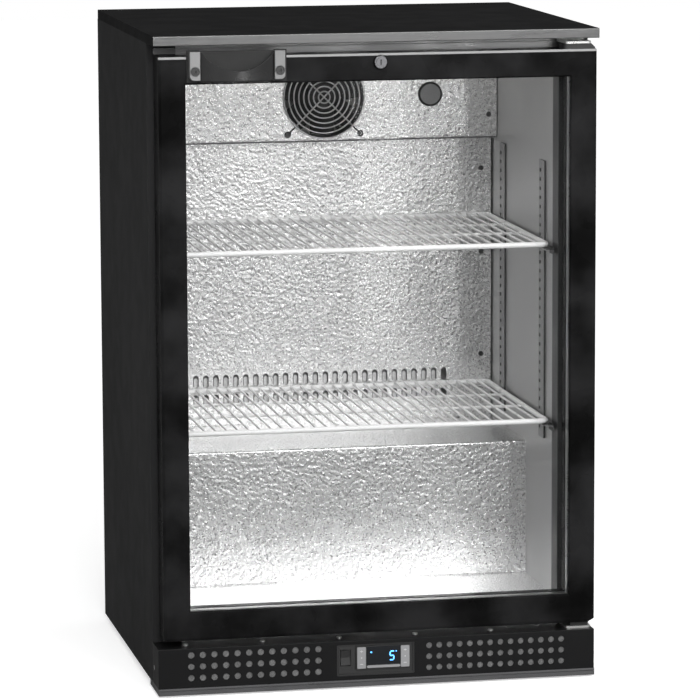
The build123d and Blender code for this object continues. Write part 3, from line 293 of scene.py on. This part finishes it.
def moulded_cup(name):
    """Glossy black moulding, matt inside its pocket, where its colour is also painted darker as shade."""
    finish = Finish(name, Specular_IOR_Level=0.7)
    smudges = finish.noise(0.05, detail=5.0, distortion=0.3)
    pocket = finish.span(finish.along("Y"), 0.0, 1.0, at=POCKET_Y)
    # painted shade: inside the pocket the colour drops from 0.006 to 0.001, besides the rise in roughness
    finish.drive("Base Color", finish.blended(pocket, (0.006, 0.006, 0.0062), (0.001, 0.001, 0.001)))
    finish.drive("Roughness", finish.maths("ADD", finish.span(smudges, 0.24, 0.30),
                                           finish.maths("MULTIPLY", pocket, 0.5)))
    finish.bump((finish.noise(0.001, detail=2.0), 0.012 * MM))
    return finish.material


def ringed(name, centre, radius, rim_colour, colour, **constants):
    """A surface that is lighter within a radius of an axis along Y."""
    finish = Finish(name, **constants)
    flat = finish.stretched((1, 0, 1))
    distance = finish.node("ShaderNodeVectorMath", {0: flat, 1: (centre.x, 0, centre.z)},
                           operation="DISTANCE")["Value"]
    cloud = finish.noise(0.02, detail=3.0)
    middle = finish.blended(cloud, shade(colour, 0.85), shade(colour, 1.15))
    rim = finish.span(distance, 0.0, 1.0, at=(radius - 0.4 * MM, radius + 0.4 * MM))
    finish.drive("Base Color", finish.blended(rim, middle, rim_colour))
    finish.bump((finish.noise(0.0008, detail=2.0), 0.05 * MM))
    return finish.material


def turned(name, colour, roughness):
    """Bright plated metal with fine turning marks."""
    finish = Finish(name, Metallic=1.0)
    marks = finish.noise(0.0006, detail=3.0, stretch=(1, 0.2, 1))
    film = finish.noise(0.012, detail=4.0)
    finish.drive("Base Color", finish.blended(film, shade(colour, 0.8), colour))
    finish.drive("Roughness", finish.span(marks, roughness - 0.03, roughness + 0.06))
    finish.bump((marks, 0.004 * MM))
    return finish.material


def fibres(name, colour):
    """A felted filter mat."""
    finish = Finish(name, Roughness=0.9, Sheen_Weight=0.2)
    strands = finish.noise(0.0011, detail=4.0, stretch=(1, 1, 0.3), distortion=2.0)
    dust = finish.noise(0.03, detail=4.0)
    tone = finish.maths("MULTIPLY", finish.span(strands, 0.3, 1.0), finish.span(dust, 0.7, 1.0))
    finish.drive("Base Color", finish.blended(tone, shade(colour, 0.25), shade(colour, 1.4)))
    finish.bump((strands, 0.4 * MM))
    return finish.material


def tinted_glass(name):
    """A clear pane: almost open, with wiping marks that only its gloss shows."""
    finish = Finish(name, Alpha=0.045, IOR=1.5, Base_Color=(0.02, 0.022, 0.021, 1))
    wipes = finish.noise(0.09, detail=5.0, stretch=(1, 1, 0.4), distortion=1.2)
    finish.drive("Roughness", finish.span(wipes, 0.02, 0.09))
    finish.bump((wipes, 0.01 * MM))
    return finish.material


def glowing(name, colour, strength):
    """A lit surface with slightly uneven brightness."""
    finish = Finish(name, Emission_Strength=strength, Roughness=0.4)
    uneven = finish.noise(0.004, detail=2.0)
    lit = finish.blended(uneven, shade(colour, 0.85), colour)
    finish.drive("Base Color", lit)
    finish.drive("Emission Color", lit)
    return finish.material


def middle_of(node):
    low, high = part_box(node)
    return (low + high) / 2


finishes = {
    "worktop_black": coated("worktop_black", (0.006, 0.006, 0.0063), 0.5, grain=0.0016, grain_depth=0.06,
                            Specular_IOR_Level=0.03),
    "trim_steel": brushed("trim_steel", (0.15, 0.15, 0.15), 0.36),
    "rail_steel": brushed("rail_steel", (0.34, 0.34, 0.34), 0.36),
    "shell_black": coated("shell_black", (0.029, 0.029, 0.0295), 0.5, Specular_IOR_Level=0.03),
    "galvanised_steel": galvanised("galvanised_steel"),
    "rail_grey": coated("rail_grey", (0.06, 0.06, 0.062), 0.38, smudge=0.12),
    "rubber_black": coated("rubber_black", (0.012, 0.012, 0.012), 0.72, grain=0.0009, grain_depth=0.03),
    "plastic_black": coated("plastic_black", (0.012, 0.012, 0.012), 0.5, grain=0.0008, grain_depth=0.05),
    "fan_grey": coated("fan_grey", (0.07, 0.07, 0.072), 0.5, grain=0.0008, grain_depth=0.05),
    "insulation_foam": coated("insulation_foam", (0.72, 0.6, 0.34), 0.85, grain=0.003, grain_depth=0.5),
    "liner_aluminium": liner_wall("liner_aluminium"),
    "rail_aluminium": punched_rail("rail_aluminium"),
    "liner_stucco": stucco("liner_stucco"),
    "guard_wire": ringed("guard_wire", middle_of("fan_guard"), 59.5 * MM, (0.05, 0.05, 0.05),
                         (0.62, 0.62, 0.63), Metallic=1.0, Roughness=0.3),
    "plug_grey": ringed("plug_grey", middle_of("cover_plug"), 14.5 * MM, (0.02, 0.02, 0.02),
                        (0.4, 0.4, 0.405), Roughness=0.5),
    "coil_aluminium": brushed("coil_aluminium", (0.75, 0.76, 0.77), 0.35, stretch=(1, 1, 0.05)),
    "lamp_diffuser": glowing("lamp_diffuser", (1.0, 0.98, 0.94), 2.0),
    "wire_white": coated("wire_white", (0.95, 0.95, 0.95), 0.3, grain=0.002, grain_depth=0.03, vary=0.04),
    "plinth_black": coated("plinth_black", (0.008, 0.008, 0.0083), 0.4, Specular_IOR_Level=0.1),
    "filter_grey": fibres("filter_grey", (0.12, 0.12, 0.12)),
    "key_grey": coated("key_grey", (0.22, 0.22, 0.225), 0.55, grain=0.0008, grain_depth=0.04),
    "screen_dark": coated("screen_dark", (0.006, 0.007, 0.009), 0.14, grain_depth=0.0, smudge=0.05),
    "zinc_screws": plated_screws("zinc_screws"),
    "cap_grey": coated("cap_grey", (0.14, 0.14, 0.142), 0.45, grain=0.0008, grain_depth=0.04),
    "compressor_black": coated("compressor_black", (0.01, 0.01, 0.01), 0.3, grain=0.003, grain_depth=0.05),
    "copper_tube": turned("copper_tube", (0.72, 0.36, 0.22), 0.3),
    "door_frame_black": lacquered_frame("door_frame_black"),
    "door_glass": tinted_glass("door_glass"),
    "spacer_aluminium": brushed("spacer_aluminium", (0.3, 0.3, 0.3), 0.34),
    "handle_black": moulded_cup("handle_black"),
    "handle_plate_grey": coated("handle_plate_grey", (0.2, 0.2, 0.2), 0.4, grain=0.001, grain_depth=0.03),
    "screw_black": coated("screw_black", (0.02, 0.02, 0.02), 0.35, grain=0.0006, grain_depth=0.01),
    "lock_chrome": turned("lock_chrome", (0.05, 0.05, 0.052), 0.12),
}
display_blue = glowing("display_blue", (0.10, 0.42, 1.0), 2.5)
key_print = coated("key_print", (0.5, 0.5, 0.51), 0.5, grain_depth=0.0)


def dress_nodes():
    """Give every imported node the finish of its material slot."""
    for subpart in frame["record"]["subparts"]:
        material = finishes[subpart["material_slot"]]
        for slot in frame["nodes"][subpart["node"]].material_slots:
            slot.material = material


# --- pieces -------------------------------------------------------------------------

def new_piece(name, mesh, material, body):
    """A finished mesh as an object that rides on a body."""
    piece = bpy.data.objects.new(name, mesh)
    bpy.context.scene.collection.objects.link(piece)
    mesh.materials.append(material)
    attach(piece, body)
    return piece


def outline_of(source, level):
    """The faces of a mesh that lie at y = level and face -Y, and the edges round them."""
    faces = []
    for face in source.faces:
        if face.normal.y < -0.999 and abs(face.calc_center_median().y - level) < 0.05 * MM:
            faces.append(face)
    chosen = set(faces)
    rim = []
    for face in faces:
        for edge in face.edges:
            if sum(other in chosen for other in edge.link_faces) == 1:
                rim.append(edge)
    return faces, rim


def inside(points, starts, ends):
    """Which points lie inside closed outlines, by counting crossings."""
    result = np.zeros(len(points), bool)
    for start, end in zip(starts, ends):
        crosses = (start[1] > points[:, 1]) != (end[1] > points[:, 1])
        if start[1] == end[1]:
            continue
        at = start[0] + (points[:, 1] - start[1]) * (end[0] - start[0]) / (end[1] - start[1])
        result ^= crosses & (points[:, 0] < at)
    return result


def near(points, starts, ends, reach):
    """Which points lie within reach of the outlines."""
    result = np.zeros(len(points), bool)
    for start, end in zip(starts, ends):
        along = end - start
        length = max(float(along @ along), 1e-18)
        share = np.clip(((points - start) @ along) / length, 0, 1)
        gap = points - start - share[:, None] * along
        result |= (gap * gap).sum(axis=1) < reach * reach
    return result


def pebble_height(point, size, depth):
    """Height of an embossed sheet over a point: rounded pebbles with valleys between them."""
    distances = noise.voronoi(point / size)[0]
    valley = min(1.0, (distances[1] - distances[0]) * 2.2)
    return depth * (valley - 0.5 + 0.25 * noise.noise(point / (size * 2.3)))


def embossed(node, name, level, depth=0.36 * MM, spacing=1.9 * MM, pebble=5.4 * MM):
    """A copy of a packed sheet whose flat front at y = level has embossing as real relief."""
    source = bmesh.new()
    source.from_mesh(frame["nodes"][node].data)
    bmesh.ops.remove_doubles(source, verts=source.verts, dist=0.002 * MM)
    faces, rim = outline_of(source, level)
    rim_vertices = sorted({vertex for edge in rim for vertex in edge.verts}, key=lambda v: v.index)
    order = {vertex: index for index, vertex in enumerate(rim_vertices)}
    flat = np.array([[vertex.co.x, vertex.co.z] for vertex in rim_vertices])
    edges = [(order[edge.verts[0]], order[edge.verts[1]]) for edge in rim]
    starts = flat[[edge[0] for edge in edges]]
    ends = flat[[edge[1] for edge in edges]]
    low = flat.min(axis=0)
    high = flat.max(axis=0)
    spans = [np.arange(low[k] + spacing, high[k] - spacing / 2, spacing) for k in (0, 1)]
    grid = np.array([(x, z) for z in spans[1] for x in spans[0]])
    grid = grid[inside(grid, starts, ends) & ~near(grid, starts, ends, 0.55 * spacing)]
    coordinates = [Vector(pair) for pair in np.vstack((flat, grid))]
    made = delaunay_2d_cdt(coordinates, edges, [], 0, 1e-7)
    plane_points = np.array([tuple(point) for point in made[0]])
    triangles = np.array([tuple(face) for face in made[2]])
    triangles = triangles[inside(plane_points[triangles].mean(axis=1), starts, ends)]
    bmesh.ops.delete(source, geom=faces, context="FACES_ONLY")
    placed = []
    for index, (x, z) in enumerate(plane_points):
        position = Vector((x, level, z))
        if index >= len(flat):
            position.y -= pebble_height(position, pebble, depth)
        placed.append(source.verts.new(position))
    relief = []
    for a, b, c in triangles:
        face = source.faces.new((placed[c], placed[b], placed[a]))
        face.smooth = True
        relief.append(face)
    for face in relief:
        face.normal_update()
    bmesh.ops.remove_doubles(source, verts=source.verts, dist=0.002 * MM)
    bmesh.ops.recalc_face_normals(source, faces=source.faces)
    for edge in source.edges:
        if len(edge.link_faces) == 2 and edge.calc_face_angle(0) > math.radians(50):
            edge.smooth = False
    mesh = bpy.data.meshes.new(name)
    source.to_mesh(mesh)
    source.free()
    piece = new_piece(name, mesh, finishes["liner_stucco"], "cabinet")
    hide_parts(node)


def make_embossed_sheets():
    embossed("duct_panel", "duct_panel_embossed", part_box("duct_panel")[0].y)
    embossed("evaporator_cover", "evaporator_cover_embossed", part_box("evaporator_cover")[0].y, depth=0.2 * MM)
    embossed("liner_floor_step", "liner_step_embossed", STEP_FRONT)


def folded_strip(name, profile, x_low, x_high):
    """A closed (y, z) profile drawn out along X."""
    built = bmesh.new()
    ends = [[built.verts.new((x, y, z)) for y, z in profile] for x in (x_low, x_high)]
    built.faces.new(ends[0])
    built.faces.new(ends[1][::-1])
    for index in range(len(profile)):
        after = (index + 1) % len(profile)
        built.faces.new((ends[0][after], ends[0][index], ends[1][index], ends[1][after]))
    bmesh.ops.recalc_face_normals(built, faces=built.faces)
    mesh = bpy.data.meshes.new(name)
    built.to_mesh(mesh)
    built.free()
    return mesh


def make_outlet_baffle():
    """A bent bright sheet close behind the outlet slots, which sends the air out through them."""
    near_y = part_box("duct_panel")[0].y + 5 * MM
    foot_z = 0.311
    bend_z = 0.371
    rear_z = 0.377
    profile = [
        (near_y, foot_z), (near_y + 4 * MM, bend_z), (near_y + 18 * MM, rear_z),
        (near_y + 18 * MM, rear_z + 1 * MM), (near_y + 3 * MM, bend_z + 1 * MM), (near_y - 1 * MM, foot_z),
    ]
    mesh = folded_strip("outlet_baffle", profile, *BAFFLE_X)
    new_piece("outlet_baffle", mesh, louvred("outlet_sheet"), "cabinet")


def make_cover_shade_strip():
    """A thin grey strip round the lower front edge of the evaporator cover, put there as painted shade for the
    shade line under that edge.
    """
    low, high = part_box("evaporator_cover")
    front = low.y - 0.8 * MM
    bottom = low.z - 1.8 * MM
    profile = [
        (front, low.z + 0.4 * MM), (front, low.z - 1.2 * MM), (front + 0.6 * MM, bottom),
        (front + 2.4 * MM, bottom), (front + 3.0 * MM, low.z - 1.2 * MM), (front + 3.0 * MM, low.z),
        (low.y, low.z), (low.y, low.z + 0.4 * MM),
    ]
    # painted shade: this grey strip stands in for the shade line under the cover's lower edge
    mesh = folded_strip("cover_shade_strip", profile, low.x + 1 * MM, high.x - 1 * MM)
    new_piece("cover_shade_strip", mesh, finishes["key_grey"], "cabinet")


# --- thermostat display ---------------------------------------------------------------

def bar_mesh(name, bars, front, thickness):
    """Thin chamfered strokes, each (centre x, centre z, width, height, lean), on a plane that faces -Y."""
    built = bmesh.new()
    for x, z, across, tall, lean in bars:
        long_way = max(across, tall) / 2
        short_way = min(across, tall) / 2
        tip = short_way
        shape = [
            (-long_way, 0), (-long_way + tip, -short_way), (long_way - tip, -short_way),
            (long_way, 0), (long_way - tip, short_way), (-long_way + tip, short_way),
        ]
        if tall > across:
            shape = [(v, u) for u, v in shape][::-1]
        near_ring = [built.verts.new((x + u + lean * v, front - thickness, z + v)) for u, v in shape]
        far_ring = [built.verts.new((x + u + lean * v, front, z + v)) for u, v in shape]
        built.faces.new(near_ring)
        built.faces.new(far_ring[::-1])
        for index in range(len(shape)):
            after = (index + 1) % len(shape)
            built.faces.new((near_ring[after], near_ring[index], far_ring[index], far_ring[after]))
    bmesh.ops.recalc_face_normals(built, faces=built.faces)
    mesh = bpy.data.meshes.new(name)
    built.to_mesh(mesh)
    built.free()
    return mesh


def make_display():
    """A lit figure five, its degree ring and a small lamp, on the face of the screen."""
    low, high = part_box("controller_screen")
    face = low.y
    tall = 13.5 * MM
    wide = 7.2 * MM
    stroke = 1.6 * MM
    lean = 0.08
    centre_x = low.x + 0.75 * (high.x - low.x)
    centre_z = low.z + 0.46 * (high.z - low.z)
    half_tall = tall / 2 - stroke / 2
    half_wide = wide / 2 - stroke / 2
    upright = half_tall - stroke / 3
    shift = lean * half_tall
    bars = [
        (centre_x + shift, centre_z + half_tall, wide - stroke, stroke, lean),
        (centre_x, centre_z, wide - stroke, stroke, lean),
        (centre_x - shift, centre_z - half_tall, wide - stroke, stroke, lean),
        (centre_x - half_wide + shift / 2, centre_z + half_tall / 2, stroke, upright, lean),
        (centre_x + half_wide - shift / 2, centre_z - half_tall / 2, stroke, upright, lean),
    ]
    thickness = 0.12 * MM
    digit = bar_mesh("display_digit", bars, face, thickness)
    new_piece("display_digit", digit, display_blue, "cabinet")
    dot = (centre_x + half_wide + 3.1 * MM, centre_z + half_tall, 2.0 * MM, 1.8 * MM, 0)
    degree = bar_mesh("display_degree", [dot], face, thickness)
    new_piece("display_degree", degree, display_blue, "cabinet")
    lamp_x = low.x + 0.14 * (high.x - low.x)
    lamp = bar_mesh("display_lamp", [(lamp_x, centre_z + 5.6 * MM, 3.0 * MM, 2.2 * MM, 0)], face, thickness)
    new_piece("display_lamp", lamp, display_blue, "cabinet")
    bezel_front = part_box("controller_body")[0].y
    bridge = [((low.x + high.x) / 2, low.z - 2.6 * MM, high.x - low.x, 3.4 * MM, 0)]
    new_piece("display_bridge", bar_mesh("display_bridge", bridge, bezel_front, 0.5 * MM),
              finishes["key_grey"], "cabinet")


def make_key_marks():
    """Short plain strokes on the two long keys."""
    for side in ("left", "right"):
        node = f"controller_key_{side}"
        low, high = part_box(node)
        centre_x = (low.x + high.x) / 2
        centre_z = (low.z + high.z) / 2
        reach = 0.3 * (high.z - low.z)
        strokes = [
            (centre_x, centre_z + reach, 4.4 * MM, 0.8 * MM, 0),
            (centre_x, centre_z + reach, 0.8 * MM, 3.2 * MM, 0),
            (centre_x, centre_z - reach, 4.4 * MM, 0.8 * MM, 0),
            (centre_x, centre_z, 2.0 * MM, 2.0 * MM, 0),
        ]
        marks = bar_mesh(f"key_marks_{side}", strokes, low.y, 0.08 * MM)
        new_piece(f"key_marks_{side}", marks, key_print, node)


# --- studio -----------------------------------------------------------------------------

CAMERA_AT = (-1.1379, -5.6340, 1.3082)
CAMERA_YAW = math.radians(11.544)
CAMERA_PITCH = math.radians(8.751)
CAMERA_ROLL = math.radians(-0.221)
CAMERA_LENS = 214.9


def add_camera():
    """A long lens from the left and a little above, looking down at the door."""
    forward = Vector((
        math.sin(CAMERA_YAW) * math.cos(CAMERA_PITCH),
        math.cos(CAMERA_YAW) * math.cos(CAMERA_PITCH),
        -math.sin(CAMERA_PITCH),
    ))
    level_right = Vector((math.cos(CAMERA_YAW), -math.sin(CAMERA_YAW), 0))
    level_up = level_right.cross(forward)
    right = level_right * math.cos(CAMERA_ROLL) + level_up * math.sin(CAMERA_ROLL)
    up = level_up * math.cos(CAMERA_ROLL) - level_right * math.sin(CAMERA_ROLL)
    data = bpy.data.cameras.new("camera")
    data.lens = CAMERA_LENS
    data.sensor_width = 36.0
    camera = bpy.data.objects.new("camera", data)
    bpy.context.scene.collection.objects.link(camera)
    turn = Matrix((right, up, -forward)).transposed().to_4x4()
    camera.matrix_world = Matrix.Translation(CAMERA_AT) @ turn
    bpy.context.scene.camera = camera


def add_area_light(name, at, target, size, power, colour=(1, 1, 1)):
    data = bpy.data.lights.new(name, "AREA")
    data.shape = "RECTANGLE"
    data.size, data.size_y = size
    data.energy = power
    data.color = colour
    light = bpy.data.objects.new(name, data)
    light.location = at
    light.rotation_euler = (Vector(target) - Vector(at)).to_track_quat("-Z", "Y").to_euler()
    light.visible_camera = False
    bpy.context.scene.collection.objects.link(light)


def add_floor():
    """White paper that glows faintly, with a weak bounce, so that it leaves the black sides dark."""
    floor_mesh = bpy.data.meshes.new("floor")
    reach = 12.0
    corners = [(-reach, -reach, 0), (reach, -reach, 0), (reach, reach, 0), (-reach, reach, 0)]
    floor_mesh.from_pydata(corners, [], [(0, 1, 2, 3)])
    floor = bpy.data.objects.new("floor", floor_mesh)
    bpy.context.scene.collection.objects.link(floor)
    paper = Finish("floor_paper", Roughness=0.8, Specular_IOR_Level=0.1, Emission_Color=(1, 1, 1, 1),
                   Emission_Strength=0.55)
    cloud = paper.noise(0.4)
    paper.drive("Base Color", paper.blended(cloud, (0.84, 0.84, 0.84), (0.88, 0.88, 0.88)))
    weak = paper.node("ShaderNodeBsdfDiffuse", {"Color": (0.3, 0.3, 0.3, 1)})["BSDF"]
    seen = paper.nodes.new("ShaderNodeLightPath").outputs["Is Camera Ray"]
    bright = paper.shader.outputs["BSDF"]
    mixed = paper.node("ShaderNodeMixShader", {0: seen, 1: weak, 2: bright})["Shader"]
    paper.links.new(mixed, paper.nodes["Material Output"].inputs["Surface"])
    floor_mesh.materials.append(paper.material)


def add_world(front, rear):
    """Surrounding light that is strong from the front and weak from the rear, on a white backdrop."""
    world = bpy.data.worlds.new("studio")
    world.use_nodes = True
    bpy.context.scene.world = world
    nodes = world.node_tree.nodes
    links = world.node_tree.links
    backdrop = nodes["Background"]
    backdrop.inputs["Color"].default_value = (1, 1, 1, 1)
    around = nodes.new("ShaderNodeBackground")
    directions = nodes.new("ShaderNodeTexCoord").outputs["Generated"]
    split = nodes.new("ShaderNodeSeparateXYZ")
    links.new(directions, split.inputs["Vector"])
    level = nodes.new("ShaderNodeMapRange")
    level.interpolation_type = "SMOOTHSTEP"
    for socket, value in (("From Min", -0.5), ("From Max", 0.7), ("To Min", front), ("To Max", rear)):
        level.inputs[socket].default_value = value
    links.new(split.outputs["Y"], level.inputs["Value"])
    links.new(level.outputs["Result"], around.inputs["Strength"])
    mixed = nodes.new("ShaderNodeMixShader")
    seen = nodes.new("ShaderNodeLightPath").outputs["Is Camera Ray"]
    links.new(seen, mixed.inputs["Fac"])
    links.new(around.outputs["Background"], mixed.inputs[1])
    links.new(backdrop.outputs["Background"], mixed.inputs[2])
    links.new(mixed.outputs["Shader"], nodes["World Output"].inputs["Surface"])
    around.inputs["Color"].default_value = (1, 1, 1, 1)


def add_studio():
    """A white floor and surround, two soft boxes, and lights for the handle, the cabinet's floor,
    the door's top edge and the lamp inside."""
    add_area_light("soft_box_right", (1.8, -4.6, 2.6), (0, 0, 0.4), (1.6, 2.0), 112)
    add_area_light("soft_box_left", (-2.4, -4.6, 1.8), (0, 0, 0.4), (1.2, 2.0), 6)
    add_area_light("strip_light", (0.64, -3.2, 0.5), (-0.19, -0.26, 0.84), (0.10, 1.2), 5)
    add_area_light("low_light", (-0.4, -2.6, 1.8), (0.05, -0.1, 0.1), (0.6, 0.4), 30)
    add_area_light("edge_light", (0.47, -2.6, 2.5), (0.0, -0.26, 0.86), (0.9, 0.4), 12)
    lamp_low, lamp_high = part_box("light_bar")
    middle = (lamp_low + lamp_high) / 2
    add_area_light(
        "lamp_inside",
        (middle.x, middle.y, lamp_low.z - 2 * MM),
        (middle.x, middle.y + 0.14, 0.2),
        (lamp_high.x - lamp_low.x, 0.02),
        0.08,
        (1.0, 0.99, 0.97),
    )
    add_floor()
    add_world(0.9, 0.15)
    bpy.context.scene.view_settings.view_transform = "Standard"


dress_nodes()
make_embossed_sheets()
make_outlet_baffle()
make_cover_shade_strip()
make_display()
make_key_marks()
add_camera()
add_studio()

bpy.context.view_layer.update()
